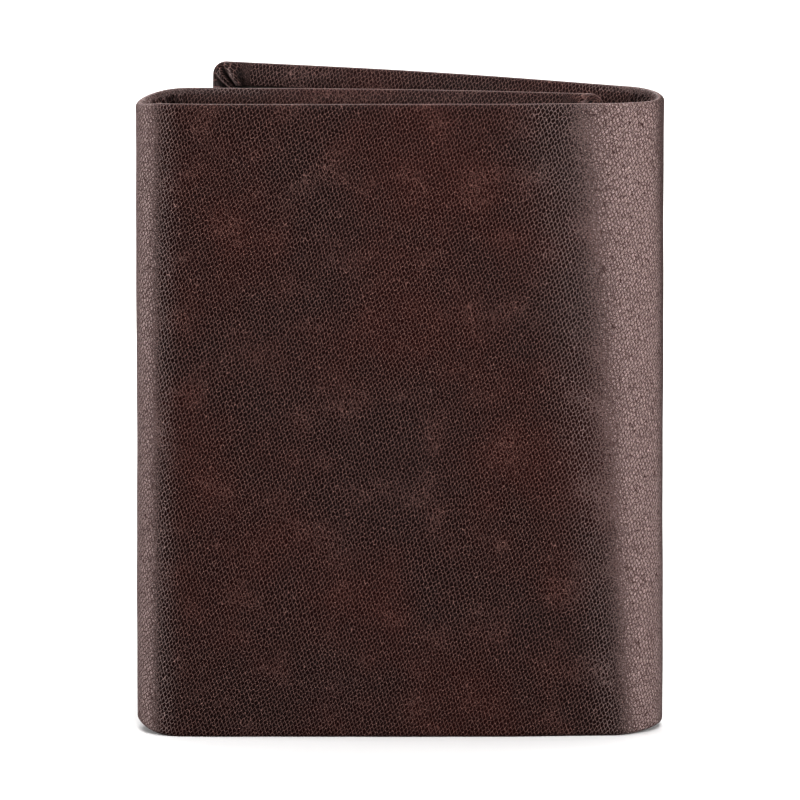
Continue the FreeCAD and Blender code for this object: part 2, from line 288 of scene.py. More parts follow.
def linked(name, mesh):
    """A new object with this mesh, shaded smooth."""
    mesh.polygons.foreach_set("use_smooth", [True] * len(mesh.polygons))
    mesh.update()
    obj = bpy.data.objects.new(name, mesh)
    bpy.context.collection.objects.link(obj)
    return obj


def new_mesh(name, verts, faces):
    """A mesh from vertices and faces."""
    mesh = bpy.data.meshes.new(name)
    mesh.from_pydata([tuple(v) for v in verts], [], faces)
    return mesh


def close_up(mesh, merge_distance=0.0, sliver=0.0):
    """Merges points that meet, removes slivers and makes every face look outwards."""
    work = bmesh.new()
    work.from_mesh(mesh)
    if merge_distance > 0:
        bmesh.ops.remove_doubles(work, verts=work.verts, dist=merge_distance)
    if sliver > 0:
        bmesh.ops.dissolve_degenerate(work, edges=work.edges, dist=sliver)
    bmesh.ops.recalc_face_normals(work, faces=work.faces)
    work.to_mesh(mesh)
    work.free()


# Rings of a turned edge, from the hem's raw edge, over the rim, to the outer face.
# Each is (inset, depth, inset on the flesh side, depth on the flesh side, wear); the wear value is
# partly real wear and partly painted light: a painted highlight along the rim, paler hem faces.
RAW_EDGE_RINGS = 3
HEM_RINGS = 9
RIM_RINGS = 9
FACE_INSETS = [1.0, 1.5, 2.2, 3.1, 4.1, 5.2]
HEM_START = HEM_WIDTH - 0.3


def hem_depth(inset):
    """The hem lies flat on the board and thins towards the rim."""
    share = min(1.0, (inset - RIM_RADIUS) / (HEM_WIDTH - HEM_TAPER - RIM_RADIUS))
    return 2 * RIM_RADIUS + (SHELL - 2 * RIM_RADIUS) * math.sin(share * math.pi / 2)


def edge_rings():
    """The profile of a turned edge, as pairs of points on the leather's two sides."""
    rings = [
        (HEM_WIDTH, SLOT, HEM_WIDTH, SLOT, 0.35),
        (HEM_WIDTH + 0.05, SLOT + 0.35, HEM_WIDTH - 0.1, SLOT, 0.55),
        (HEM_WIDTH - 0.1, SHELL - 0.04, HEM_START, SLOT, 0.4),
    ]
    for number in range(HEM_RINGS):
        inset = HEM_START - (HEM_START - RIM_RADIUS) * number / HEM_RINGS
        rings.append((inset, hem_depth(inset), max(inset, SLOT_END), SLOT, HEM_WEAR_AND_PAINTED_LIGHT))
    for number in range(RIM_RINGS + 1):
        angle = math.pi * (1 - number / RIM_RINGS)
        inset = RIM_RADIUS * (1 - math.sin(angle))
        depth = RIM_RADIUS * (1 - math.cos(angle))
        inner = SKIN + (SLOT - SKIN) * (1 - number / RIM_RINGS)
        # The rim's outermost line is palest: partly wear, partly a painted highlight on the rounded
        # edge
        rim_wear_and_highlight = max(math.sin(angle) ** 6, HEM_WEAR_AND_PAINTED_LIGHT if angle > math.pi / 2 else 0.0)
        rings.append((inset, depth, SLOT_END, inner, rim_wear_and_highlight))
    for inset in FACE_INSETS:
        rings.append((inset, 0.0, max(inset, SLOT_END), SKIN, 0.0))
    return rings


RINGS = edge_rings()
RING_COUNT = len(RINGS)
PLAIN_ROWS = 46
RIM_START = RAW_EDGE_RINGS + HEM_RINGS


def unrolled_distances():
    """Distance along the leather: the inset on the outer face, and negative on the hem."""
    base = RIM_START + RIM_RINGS
    found = [0.0] * RING_COUNT
    for number in range(RING_COUNT - 1, -1, -1):
        if number >= base:
            found[number] = RINGS[number][0]
        else:
            here, ahead = RINGS[number], RINGS[number + 1]
            found[number] = found[number + 1] - math.hypot(here[0] - ahead[0], here[1] - ahead[1])
    return found


UNROLLED = unrolled_distances()


def corner_insets(ring_inset, share):
    """(near, far) insets on a rounded ring, share 0 on the diagonal, 1 where it leaves the corner."""
    radius = max(CORNER_RADIUS - ring_inset, TIGHTEST_CORNER)
    straight = EDGE_ZONE - ring_inset - radius
    arc = radius * math.pi / 4
    run = share * (straight + arc)
    if run <= arc:
        angle = math.pi / 4 - run / radius
        near = ring_inset + radius * (1 - math.cos(angle))
        far = ring_inset + radius * (1 - math.sin(angle))
        return near, far
    return ring_inset, ring_inset + radius + run - arc


def fold_gather(station, distance):
    """Gathers in the turned hem on the inside of a fold, 0 in the valleys to 1 on the ridges."""
    share, side = fold_share(station)
    if side == 0:
        return 0.0
    phase = station * 5.1 + 1.3 * math.sin(station * 1.9) + 0.35 * distance
    wave = 0.5 + 0.5 * math.sin(phase)
    return min(1.0, share * 1.3) ** 0.7 * wave ** 1.5


def corner_gather(share, side):
    """Gathers that fan round a flap's corner, 0 to 1; share is 0 on the diagonal."""
    turn = side * (1 - share)
    phase = turn * 13.0 + 0.9 * math.sin(turn * 7.0)
    return min(1.0, CORNER_PLEAT_REACH * (1 - share)) * (0.5 + 0.5 * math.sin(phase))


# One line of the leather's grid.  At an edge its value is a ring's number and its side is -1 for
# the bottom or left edge and 1 for the top or right one; elsewhere it is a station or a height.
GridLine = namedtuple("GridLine", "at_edge value side")


def edge_crossing(row, column):
    """Where two grid lines cross near an edge: (ring, share, side, insets, flesh-side insets).

    Insets are from the top or bottom edge and from the free end, None where there is no edge."""
    if row.at_edge and column.at_edge:
        ring = min(row.value, column.value)
        share = (max(row.value, column.value) - ring) / (RING_COUNT - ring)
        insets = corner_insets(RINGS[ring][0], share)
        flesh_insets = corner_insets(RINGS[ring][2], share)
        if column.value < row.value:
            return ring, share, -1, insets[::-1], flesh_insets[::-1]
        return ring, share, 1, insets, flesh_insets
    if row.at_edge:
        ring = row.value
        return ring, 1.0, 1, (RINGS[ring][0], None), (RINGS[ring][2], None)
    ring = column.value
    return ring, 1.0, 1, (None, RINGS[ring][0]), (None, RINGS[ring][2])


def gathered(depth, ring, share, side, station, at_corner):
    """(depth, gather, shade between gathers) of the hem at a ring and a station, once it is gathered;
    the gather becomes a painted highlight on the ridges, the shade between gathers is painted shade.
    """
    past_rim = max(0.0, min(1.0, (RIM_START + PLEAT_START - ring) / PLEAT_EASE))
    if past_rim == 0 or ring == 0:
        return depth, 0.0, 0.0
    gather = fold_gather(station, UNROLLED[ring])
    shade_between_gathers = fold_share(station)[0] * (1 - gather) * past_rim
    depth += FOLD_PLEAT * gather * past_rim
    if at_corner:
        gather = corner_gather(share, side)
        shade_between_gathers = min(1.0, CORNER_PLEAT_REACH * (1 - share)) * (1 - gather) * past_rim
        depth += CORNER_PLEAT * gather * past_rim
    return depth, gather, shade_between_gathers


def leather_point(row, column, end_station, free_end):
    """Outer point, flesh-side point, unrolled place, wear with painted highlight, and polish with
    painted sheen and shade, where two grid lines cross.
    """
    across = end_station - free_end * UNROLLED[column.value] if column.at_edge else column.value
    up = row.value
    if row.at_edge:
        up = UNROLLED[row.value] if row.side < 0 else HEIGHT - UNROLLED[row.value]
    unrolled = (across, up, 0.0)
    if not (row.at_edge or column.at_edge):
        outer, flesh = place(column.value, 0.0, row.value), place(column.value, SKIN, row.value)
        return outer, flesh, unrolled, 0.0, polish_and_painted_light(column.value, row.value)

    def settle(pair):
        """Station and height from the insets from the two edges."""
        station = end_station - free_end * pair[1] if column.at_edge else column.value
        z = row.value
        if row.at_edge:
            z = pair[0] if row.side < 0 else HEIGHT - pair[0]
        return station, z

    ring, share, side, insets, flesh_insets = edge_crossing(row, column)
    _inset, depth, _flesh_inset, flesh_depth, rim_wear_and_highlight = RINGS[ring]
    station, z = settle(insets)
    flesh_station, flesh_z = settle(flesh_insets)
    depth, gather, shade_between_gathers = gathered(depth, ring, share, side, station, row.at_edge and column.at_edge)
    outer = place(station, depth, z)
    flesh = place(flesh_station, flesh_depth, flesh_z)
    if ring >= RIM_START:
        return outer, flesh, unrolled, rim_wear_and_highlight, polish_and_painted_light(station, z)
    # Painted highlight on the gathers' ridges, painted shade in the hollows between them
    hem_sheen_and_shade = HEM_POLISH_AND_SHEEN + GATHER_HIGHLIGHT * gather - HOLLOW_SHADE * shade_between_gathers
    # Inside the folds the hem's paleness is taken away, painting shade there
    return outer, flesh, unrolled, rim_wear_and_highlight * (1 - fold_share(station)[0]), hem_sheen_and_shade


def turned_leather(name, inner_stations, free_end=0):
    """A length of the outer leather, hemmed top and bottom and, on a flap, at its free end.

    inner_stations are the stations of its plain columns; free_end is -1 or 1 for the side that
    is turned over, or 0 for a length that is open at both sides."""
    rows = [GridLine(True, number, -1) for number in range(RING_COUNT)]
    rows += [GridLine(False, z, 0) for z in np.linspace(EDGE_ZONE, HEIGHT - EDGE_ZONE, PLAIN_ROWS)]
    rows += [GridLine(True, number, 1) for number in range(RING_COUNT - 1, -1, -1)]
    columns = [GridLine(False, s, 0) for s in inner_stations]
    if free_end > 0:
        columns += [GridLine(True, number, 1) for number in range(RING_COUNT - 1, -1, -1)]
    if free_end < 0:
        columns = [GridLine(True, number, -1) for number in range(RING_COUNT)] + columns
    end_station = OUTER_END if free_end > 0 else INNER_END
    points = [leather_point(row, column, end_station, free_end) for column in columns for row in rows]
    outer, flesh, unrolled, wear_and_highlight, polish_sheen_shade = (list(values) for values in zip(*points))

    tall, wide = len(rows), len(columns)

    def at(i, j, layer):
        return (layer * wide + i) * tall + j

    faces = []
    for i in range(wide - 1):
        for j in range(tall - 1):
            faces.append((at(i, j, 0), at(i + 1, j, 0), at(i + 1, j + 1, 0), at(i, j + 1, 0)))
            faces.append((at(i, j, 1), at(i, j + 1, 1), at(i + 1, j + 1, 1), at(i + 1, j, 1)))
    open_columns = []
    if free_end <= 0:
        open_columns.append(wide - 1)
    if free_end >= 0:
        open_columns.append(0)
    for i in open_columns:
        for j in range(tall - 1):
            faces.append((at(i, j, 0), at(i, j + 1, 0), at(i, j + 1, 1), at(i, j, 1)))
    mesh = new_mesh(name, outer + flesh, faces)
    store_leather(mesh, unrolled * 2, wear_and_highlight * 2, polish_sheen_shade * 2)
    obj = linked(name, mesh)
    close_up(mesh, merge_distance=1e-6, sliver=1e-7)
    mesh.set_sharp_from_angle(angle=math.radians(60))
    return obj


def rounded_outline(first, last, low, high, radius, arc_points=6):
    """Closed outline of a rectangle with rounded corners."""
    points = []
    corners = [(last - radius, high - radius, 0), (first + radius, high - radius, 90),
               (first + radius, low + radius, 180), (last - radius, low + radius, 270)]
    for x, y, start in corners:
        for number in range(arc_points + 1):
            angle = math.radians(start + 90 * number / arc_points)
            points.append((x + radius * math.cos(angle), y + radius * math.sin(angle)))
    return points


# How deep a thumb notch is against its half width
NOTCH_SHARE = 0.75

# Heated crease along a lip: its depth and half width; and the painted band on a cut edge
GROOVE_DEPTH = 0.07
GROOVE_HALF = 0.3
PAINTED_BAND = 0.02

# How many lines cut a sheet across, so that it can follow the leather's unevenness
CROSS_LINES = 9


def notched_outline(first, last, low, high, notch_middle, notch_radius):
    """Rectangle with a thumb notch in its top edge."""
    points = [(first, low), (last, low), (last, high)]
    steps = 16
    for number in range(steps + 1):
        angle = -math.pi * number / steps
        x = notch_middle + notch_radius * math.cos(angle)
        points.append((x, high + notch_radius * NOTCH_SHARE * math.sin(angle)))
    points.append((first, high))
    return points


def cut_sheet(name, outlines, depth, thickness, bevel=0.09, cut=1.6, groove=None):
    """A thin sheet with this outline and these holes, laid along the skin at a depth.

    cut is the spacing of the lines that let it bend, and groove the height of a creased line."""
    curve = bpy.data.curves.new(name, "CURVE")
    curve.dimensions = "2D"
    curve.fill_mode = "BOTH"
    curve.extrude = thickness / 2 - bevel
    curve.bevel_depth = bevel
    curve.bevel_resolution = 1
    curve.offset = -bevel
    for outline in outlines:
        spline = curve.splines.new("POLY")
        spline.points.add(len(outline) - 1)
        for point, (x, y) in zip(spline.points, outline):
            point.co = (x, y, 0, 1)
        spline.use_cyclic_u = True
    shaper = bpy.data.objects.new(name, curve)
    bpy.context.collection.objects.link(shaper)
    bpy.context.view_layer.update()
    evaluated = shaper.evaluated_get(bpy.context.evaluated_depsgraph_get())
    mesh = bpy.data.meshes.new_from_object(evaluated)
    bpy.data.objects.remove(shaper)

    work = bmesh.new()
    work.from_mesh(mesh)
    bmesh.ops.remove_doubles(work, verts=work.verts, dist=1e-5)
    low_x = min(v.co.x for v in work.verts)
    high_x = max(v.co.x for v in work.verts)
    low_y = min(v.co.y for v in work.verts)
    high_y = max(v.co.y for v in work.verts)
    cuts = [(x, (1, 0, 0)) for x in np.arange(low_x + cut, high_x - cut / 2, cut)]
    lines = list(np.linspace(low_y, high_y, CROSS_LINES)[1:-1])
    if groove is not None:
        lines += [groove + offset for offset in (-0.35, -0.12, 0.0, 0.12, 0.35)]
    cuts += [(y, (0, 1, 0)) for y in lines]
    for offset, normal in cuts:
        bmesh.ops.bisect_plane(
            work, geom=work.verts[:] + work.edges[:] + work.faces[:],
            plane_co=Vector(normal) * offset, plane_no=normal, dist=1e-5)
    bmesh.ops.recalc_face_normals(work, faces=work.faces)
    unrolled, wear_and_highlight = [], []
    for vert in work.verts:
        x, y, height = vert.co
        lift = 0.0
        if groove is not None and height > 0:
            lift -= GROOVE_DEPTH * max(0.0, 1 - abs(y - groove) / GROOVE_HALF)
        near_edge = min(x - low_x, high_x - x, y - low_y, high_y - y)
        unrolled.append((x, y, 0.0))
        wear_and_highlight.append(1.0 if near_edge < PAINTED_BAND else 0.0)
        vert.co = place(x, depth + thickness / 2 + height + lift, y)
    work.to_mesh(mesh)
    work.free()
    store_leather(mesh, unrolled, wear_and_highlight)
    close_up(mesh)
    obj = linked(name, mesh)
    mesh.set_sharp_from_angle(angle=math.radians(50))
    return obj


STITCH_LENGTH = 2.3
STITCH_RADIUS = 0.2
STITCH_SLANT = 0.12
STITCH_RISE = 0.16


def thread_row(name, stations, heights, surface):
    """Rows of lockstitches; surface gives the sewn face's depth at a height."""
    verts, faces, unrolled = [], [], []
    around, steps = 8, 8
    for station in stations:
        for low in heights:
            depth = max(surface(low), surface(low + STITCH_LENGTH))
            base = len(verts)
            for step in range(steps + 1):
                share = step / steps
                bulge = math.sin(math.pi * share) ** 0.5
                slant = STITCH_SLANT * (share - 0.5)
                radius = STITCH_RADIUS * bulge
                middle = depth - STITCH_RISE / 2 + STITCH_RISE * bulge
                for turn in range(around):
                    angle = 2 * math.pi * turn / around
                    across = station + slant + radius * math.cos(angle)
                    inwards = middle + radius * math.sin(angle)
                    verts.append(place(across, inwards, low + STITCH_LENGTH * share))
                    unrolled.append((angle, STITCH_LENGTH * share, 0.0))
            for step in range(steps):
                for turn in range(around):
                    near = base + step * around
                    following = (turn + 1) % around
                    faces.append((near + turn, near + following,
                                  near + around + following, near + around + turn))
    mesh = new_mesh(name, verts, faces)
    store_leather(mesh, unrolled)
    close_up(mesh, merge_distance=1e-7)
    return linked(name, mesh)


# ---------------------------------------------------------------- materials

class Nodes:
    """Short ways to add and join shader nodes."""

    def __init__(self, name):
        self.material = bpy.data.materials.new(name)
        self.material.use_nodes = True
        self.tree = self.material.node_tree
        self.shader = self.tree.nodes["Principled BSDF"]

    def add(self, kind, inputs=None, **settings):
        node = self.tree.nodes.new(kind)
        for key, value in settings.items():
            setattr(node, key, value)
        for key, value in (inputs or {}).items():
            if isinstance(value, bpy.types.NodeSocket):
                self.tree.links.new(value, node.inputs[key])
            else:
                node.inputs[key].default_value = value
        return node

    def attribute(self, name):
        return self.add("ShaderNodeAttribute", attribute_name=name)

    def math(self, operation, a, b):
        return self.add("ShaderNodeMath", {0: a, 1: b}, operation=operation).outputs[0]

    def ramp(self, value, low, high, to_low=0.0, to_high=1.0):
        """Smooth step of a value from [low, high] to [to_low, to_high]."""
        node = self.add(
            "ShaderNodeMapRange",
            {"Value": value, "From Min": low, "From Max": high, "To Min": to_low, "To Max": to_high},
            interpolation_type="SMOOTHSTEP")
        return node.outputs["Result"]

    def noise(self, vector, scale, detail=3.0, roughness=0.55):
        return self.add(
            "ShaderNodeTexNoise",
            {"Vector": vector, "Scale": scale, "Detail": detail, "Roughness": roughness})

    def voronoi(self, vector, scale, feature, randomness=1.0):
        return self.add(
            "ShaderNodeTexVoronoi", {"Vector": vector, "Scale": scale, "Randomness": randomness},
            feature=feature)

    def stretched(self, vector, lean, across, along):
        """Coordinates whose cells lean (degrees, to the left) and are stretched both ways."""
        node = self.add(
            "ShaderNodeMapping", {"Vector": vector, "Rotation": (0, 0, math.radians(lean)),
                                  "Scale": (across, along, 1)}, vector_type="TEXTURE")
        return node.outputs[0]

    def mix(self, factor, a, b):
        """Colour mix."""
        node = self.add("ShaderNodeMix", data_type="RGBA")
        for socket, value in ((node.inputs[0], factor), (node.inputs[6], a), (node.inputs[7], b)):
            if isinstance(value, bpy.types.NodeSocket):
                self.tree.links.new(value, socket)
            else:
                socket.default_value = value
        return node.outputs[2]

    def vector_math(self, operation, a, b):
        return self.add("ShaderNodeVectorMath", {0: a, 1: b}, operation=operation).outputs[0]

    def finish(self, **sockets):
        for key, value in sockets.items():
            socket = self.shader.inputs[key.replace("_", " ")]
            if isinstance(value, bpy.types.NodeSocket):
                self.tree.links.new(value, socket)
            else:
                socket.default_value = value
        return self.material


def tinted(colour, *factors):
    """A colour with its three channels multiplied by three factors, or all by one."""
    factors = factors * 3 if len(factors) == 1 else factors
    return tuple(c * f for c, f in zip(colour, factors)) + (1,)


# Pale grey of the painted sheen along the folds, which stands also for leather that handling has
# greyed and polished
POLISH_SHEEN_GREY = (0.255, 0.2, 0.192, 1)

# The hide's irregularity, as noise: scale per millimetre and how far it shifts the grain
HIDE_SWAY = ((0.03, 3.0), (0.5, 0.22), (2.4, 0.09))
GRAIN_LEAN = -14
WRINKLE_LEAN = 27


def hide_coordinates(n, where):
    """Leather coordinates bent by the hide's own irregularity."""
    bent = where
    for scale, amount in HIDE_SWAY:
        sway = n.noise(where, scale, 2.0).outputs["Color"]
        sway = n.vector_math("SUBTRACT", sway, (0.5, 0.5, 0.5))
        bent = n.vector_math("ADD", bent, n.vector_math("MULTIPLY", sway, (amount, amount, 0)))
    return bent


def pebbled_leather(name, dark, light, cell, relief):
    """Pebble-grained leather.

    Where it is matt, dark domed cells stand in a network of paler creases, with painted glints.  Along
    the folds a painted sheen, which stands also for their polish, greys the cells and darkens the
    creases.
    Rims and hems are paler, partly from wear and partly as painted light; painted shade darkens the
    hollows between the hem's gathers."""
    n = Nodes(name)
    where = n.attribute("unrolled").outputs["Vector"]
    wear_and_highlight = n.attribute("wear_and_highlight").outputs["Fac"]
    polish_sheen_shade = n.attribute("polish_and_painted_light").outputs["Fac"]

    # Two cell patterns: the fine grain, its lattice turned by 45 degrees, and longer wrinkles
    bent = hide_coordinates(n, where)
    grain = n.stretched(n.stretched(bent, GRAIN_LEAN, 0.8, 1.38), 45, 1, 1)
    wrinkles = n.stretched(bent, WRINKLE_LEAN, 0.8, 1.8)
    edge = n.voronoi(grain, 1 / cell, "DISTANCE_TO_EDGE", 0.4).outputs["Distance"]
    long_edge = n.voronoi(wrinkles, 0.85 / cell, "DISTANCE_TO_EDGE").outputs["Distance"]

    # Noises from the finest to the broadest
    glint_noise = n.noise(where, 6.5, 1.0).outputs["Fac"]
    dust = n.noise(where, 4.2, 2.0, 0.6).outputs["Fac"]
    patch = n.noise(where, 0.14, 2.0, 0.5).outputs["Fac"]
    cloudy = n.ramp(n.noise(where, 0.035, 3.0, 0.6).outputs["Fac"], 0.36, 0.66)

    crease = n.ramp(edge, 0.0, 0.15, 1.0, 0.0)
    crease = n.math("MULTIPLY", crease, n.ramp(dust, 0.34, 0.62, 0.4, 1.0))
    long_crease = n.math(
        "MULTIPLY", n.ramp(long_edge, 0.0, 0.1, 1.0, 0.0), n.ramp(dust, 0.4, 0.6, 0.35, 1.0))
    stretch_line = n.math(
        "MULTIPLY", n.ramp(long_edge, 0.0, 0.06, 0.7, 0.0), n.ramp(patch, 0.5, 0.7, 0.0, 1.0))
    crease = n.math("MAXIMUM", crease, stretch_line)

    # Matt leather, redder in cloudy patches, with painted glints on its creases
    # Painted sheen: towards the folds the creases fade and the network pales to grey
    fading = n.math("MULTIPLY", crease, n.ramp(polish_sheen_shade, 0.4, 0.8, 1.0, 0.6))
    network = n.mix(cloudy, light, tinted(light, 1.0, 0.84, 0.78))
    network = n.mix(n.ramp(polish_sheen_shade, 0.02, 0.35), network, tinted(POLISH_SHEEN_GREY, 0.95))
    matt = n.mix(fading, n.mix(cloudy, dark, tinted(dark, 1.9, 1.4, 1.2)), network)
    painted_glints = n.math("MULTIPLY", crease, n.ramp(glint_noise, 0.52, 0.66, 0.0, 0.9))
    matt = n.mix(painted_glints, matt, tinted(light, 2.4, 2.5, 2.4))

    # Painted sheen along the folds, standing also for their polish: greyed cell tops and dark creases
    tops = n.mix(n.ramp(dust, 0.3, 0.7), tinted(POLISH_SHEEN_GREY, 0.75), POLISH_SHEEN_GREY)
    # Painted glints on the greyed tops
    tops = n.mix(n.ramp(glint_noise, 0.56, 0.68), tops, tinted(POLISH_SHEEN_GREY, 1.9))
    lines = n.math("MAXIMUM", n.ramp(edge, 0.0, 0.16, 0.95, 0.0), long_crease)
    polished_sheen = n.mix(lines, tops, tinted(dark, 2.5))
    scatter = n.math("MULTIPLY", n.math("SUBTRACT", dust, 0.5), 0.8)
    colour = n.mix(n.ramp(n.math("ADD", polish_sheen_shade, scatter), 0.35, 0.75), matt, polished_sheen)

    # Rims and hems paler, partly from rubbing and partly as a painted highlight on the rounded rim and
    # painted light on the hem faces; between gathers the value is negative, and painted shade darkens
    # the leather
    rub_and_highlight = n.math("MULTIPLY", wear_and_highlight, n.math("MAXIMUM", crease, n.math("POWER", wear_and_highlight, 3.0)))
    rub_and_highlight = n.math("MULTIPLY", rub_and_highlight, n.ramp(dust, 0.25, 0.75, 0.55, 1.0))
    colour = n.mix(rub_and_highlight, colour, tinted(light, 2.1, 2.4, 2.5))
    # Painted shade where the value is negative, between the hem's gathers
    colour = n.mix(n.ramp(polish_sheen_shade, -0.5, 0.0, 0.85, 0.0), colour, tinted(dark, 0.3))

    height = n.math("ADD", n.ramp(edge, 0.0, 0.2), n.math("MULTIPLY", dust, 0.55))
    height = n.math("SUBTRACT", height, n.math("MULTIPLY", long_crease, 0.8))
    bump = n.add("ShaderNodeBump", {"Height": height, "Strength": 1.0, "Distance": relief * MM})
    rough = n.math("ADD", n.ramp(edge, 0.01, 0.14, 0.85, 0.38), n.math("MULTIPLY", dust, 0.08))
    rough = n.math("SUBTRACT", rough, n.math("MULTIPLY", polish_sheen_shade, 0.08))
    return n.finish(
        Base_Color=colour, Roughness=rough, Normal=bump.outputs[0], Specular_IOR_Level=0.17)


def woven_cloth(name, dark, light, pitch):
    """Plain-woven lining: over-and-under threads along both directions."""
    n = Nodes(name)
    where = n.attribute("unrolled").outputs["Vector"]
    warp, weft = (
        n.add("ShaderNodeTexWave",
              {"Vector": where, "Scale": 1 / pitch / 2, "Distortion": 0.4, "Detail": 1.0},
              bands_direction=direction).outputs["Fac"]
        for direction in ("X", "Y"))
    weave = n.math("MAXIMUM", warp, weft)
    slub = n.noise(where, 0.9, 3.0).outputs["Fac"]
    colour = n.mix(n.math("MULTIPLY", weave, n.ramp(slub, 0.3, 0.7, 0.4, 1.0)), dark, light)
    bump = n.add("ShaderNodeBump", {"Height": weave, "Strength": 0.8, "Distance": 0.05 * MM})
    return n.finish(
        Base_Color=colour, Roughness=n.ramp(slub, 0.2, 0.8, 0.7, 0.9), Normal=bump.outputs[0],
        Specular_IOR_Level=0.25, Sheen_Weight=0.2, Sheen_Roughness=0.4)


def sewing_thread(name, dark, light):
    """Twisted thread."""
    n = Nodes(name)
    where = n.attribute("unrolled").outputs["Vector"]
    turned = n.add(
        "ShaderNodeMapping", {"Vector": where, "Rotation": (0, 0, math.radians(35))}).outputs[0]
    twist = n.add("ShaderNodeTexWave", {"Vector": turned, "Scale": 1.4, "Distortion": 0.6},
                  bands_direction="Y").outputs["Fac"]
    colour = n.mix(twist, dark, light)
    bump = n.add("ShaderNodeBump", {"Height": twist, "Strength": 0.7, "Distance": 0.04 * MM})
    return n.finish(
        Base_Color=colour, Roughness=n.ramp(twist, 0, 1, 0.6, 0.42), Normal=bump.outputs[0],
        Specular_IOR_Level=0.4)


def bonded_board(name):
    """Grey-brown fibre board."""
    n = Nodes(name)
    where = n.attribute("unrolled").outputs["Vector"]
    fibre = n.noise(where, 2.4, 6.0, 0.7).outputs["Fac"]
    colour = n.mix(n.ramp(fibre, 0.3, 0.7), (0.23, 0.17, 0.12, 1), (0.38, 0.3, 0.22, 1))
    bump = n.add("ShaderNodeBump", {"Height": fibre, "Strength": 0.5, "Distance": 0.05 * MM})
    return n.finish(
        Base_Color=colour, Roughness=n.ramp(fibre, 0.2, 0.8, 0.75, 0.95), Normal=bump.outputs[0])


def clear_film(name):
    """Clear flexible film with faint handling scratches."""
    n = Nodes(name)
    where = n.attribute("unrolled").outputs["Vector"]
    streaks = n.add("ShaderNodeMapping", {"Vector": where, "Rotation": (0, 0, 0.7),
                                          "Scale": (0.15, 3.0, 1)}).outputs[0]
    scratch = n.noise(streaks, 1.2, 4.0, 0.7).outputs["Fac"]
    return n.finish(
        Base_Color=(0.93, 0.94, 0.93, 1), Roughness=n.ramp(scratch, 0.55, 0.75, 0.12, 0.25),
        Transmission_Weight=1.0, IOR=1.45)


OUTER = pebbled_leather(
    "outer_leather", (0.0115, 0.002, 0.0016, 1), (0.14, 0.086, 0.078, 1), cell=0.57, relief=0.06)
INNER = pebbled_leather(
    "pocket_leather", (0.022, 0.0065, 0.0052, 1), (0.105, 0.052, 0.044, 1), cell=0.5, relief=0.03)
LINER = woven_cloth("lining_cloth", (0.008, 0.006, 0.0055, 1), (0.03, 0.022, 0.019, 1), 0.34)
THREAD = sewing_thread("thread", (0.02, 0.009, 0.007, 1), (0.075, 0.036, 0.028, 1))
BOARD = bonded_board("bonded_board")
CLEAR = clear_film("clear_film")


def dress(obj, material, body, cad_node):
    """Material, body and the CAD node that a rigid piece stands for."""
    obj.data.materials.clear()
    obj.data.materials.append(material)
    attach(obj, body)
    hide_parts(cad_node)


def dress_bend(obj, material, cad_node):
    """Material and the CAD node for a piece that lies across one hinge line, its placement baked into
    its mesh.
    """
    obj.data.materials.clear()
    obj.data.materials.append(material)
    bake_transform(obj)
    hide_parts(cad_node)


# ---------------------------------------------------------------- the outer leather

def stations(first, last, pitch):
    """Evenly spaced stations, about pitch apart."""
    return list(np.linspace(first, last, max(2, int(round((last - first) / pitch)) + 1)))


# Each bend: its bodies, its first and last station, and the stations its pieces span
BENDS = {
    "left_fold_back": (("inner_flap", "left_spine"), (INNER_FOLD, LEFT_SIDE),
                       (INNER_FOLD - FLAT_MARGIN, LEFT_SIDE)),
    "left_fold_front": (("left_spine", "centre_panel"), (LEFT_SIDE, 0.0), (LEFT_SIDE, FLAT_MARGIN)),
    "right_fold_front": (("centre_panel", "right_spine"), (CENTRE_LENGTH, RIGHT_SIDE),
                         (CENTRE_LENGTH - FLAT_MARGIN, RIGHT_SIDE)),
    "right_fold_back": (("right_spine", "outer_flap"), (RIGHT_SIDE, OUTER_FOLD),
                        (RIGHT_SIDE, OUTER_FOLD + FLAT_MARGIN)),
}

PANEL_PITCH = 1.5
BEND_PITCH = 0.22

dress(turned_leather("inner_flap_leather",
                     stations(INNER_END + EDGE_ZONE, INNER_FOLD - FLAT_MARGIN, PANEL_PITCH), -1),
      OUTER, "inner_flap", "inner_flap_shell")
dress(turned_leather("centre_leather",
                     stations(FLAT_MARGIN, CENTRE_LENGTH - FLAT_MARGIN, PANEL_PITCH)),
      OUTER, "centre_panel", "centre_shell")
dress(turned_leather("outer_flap_leather",
                     stations(OUTER_FOLD + FLAT_MARGIN, OUTER_END - EDGE_ZONE, PANEL_PITCH), 1),
      OUTER, "outer_flap", "outer_flap_shell")
for bend_name, (bodies, bend_span, piece_span) in BENDS.items():
    cad_side = bend_name.split("_")[0]
    piece = turned_leather(f"{bend_name}_leather", stations(*piece_span, BEND_PITCH))
    dress_bend(piece, OUTER, f"{cad_side}_fold_leather")


# ---------------------------------------------------------------- linings, boards, inner walls

PANELS = {
    "inner_flap": (INNER_END, INNER_FOLD),
    "centre": (0.0, CENTRE_LENGTH),
    "outer_flap": (OUTER_FOLD, OUTER_END),
}
BODY = {"inner_flap": "inner_flap", "centre": "centre_panel", "outer_flap": "outer_flap"}
LINING_INSET = HEM_WIDTH + 0.2
LINING_LOW = LINING_INSET
LINING_HIGH = HEIGHT - LINING_INSET
FOLD_LINING_RISE = 1.0
FOLD_LINING_DROP = 0.5
FOLD_LINING_DEPTH = SKIN + 0.05
BOARD_INSET = SLOT_END + 0.1
BOARD_PLAY = 0.02
BILL_MOUTH_DROP = 6.0
MOUTH = HEIGHT - BILL_MOUTH_DROP
MOUTH_GROOVE = 1.6
POCKET_BOTTOM = 1.5
GUSSET_RISE = 1.2
BEND_CUT = 0.35


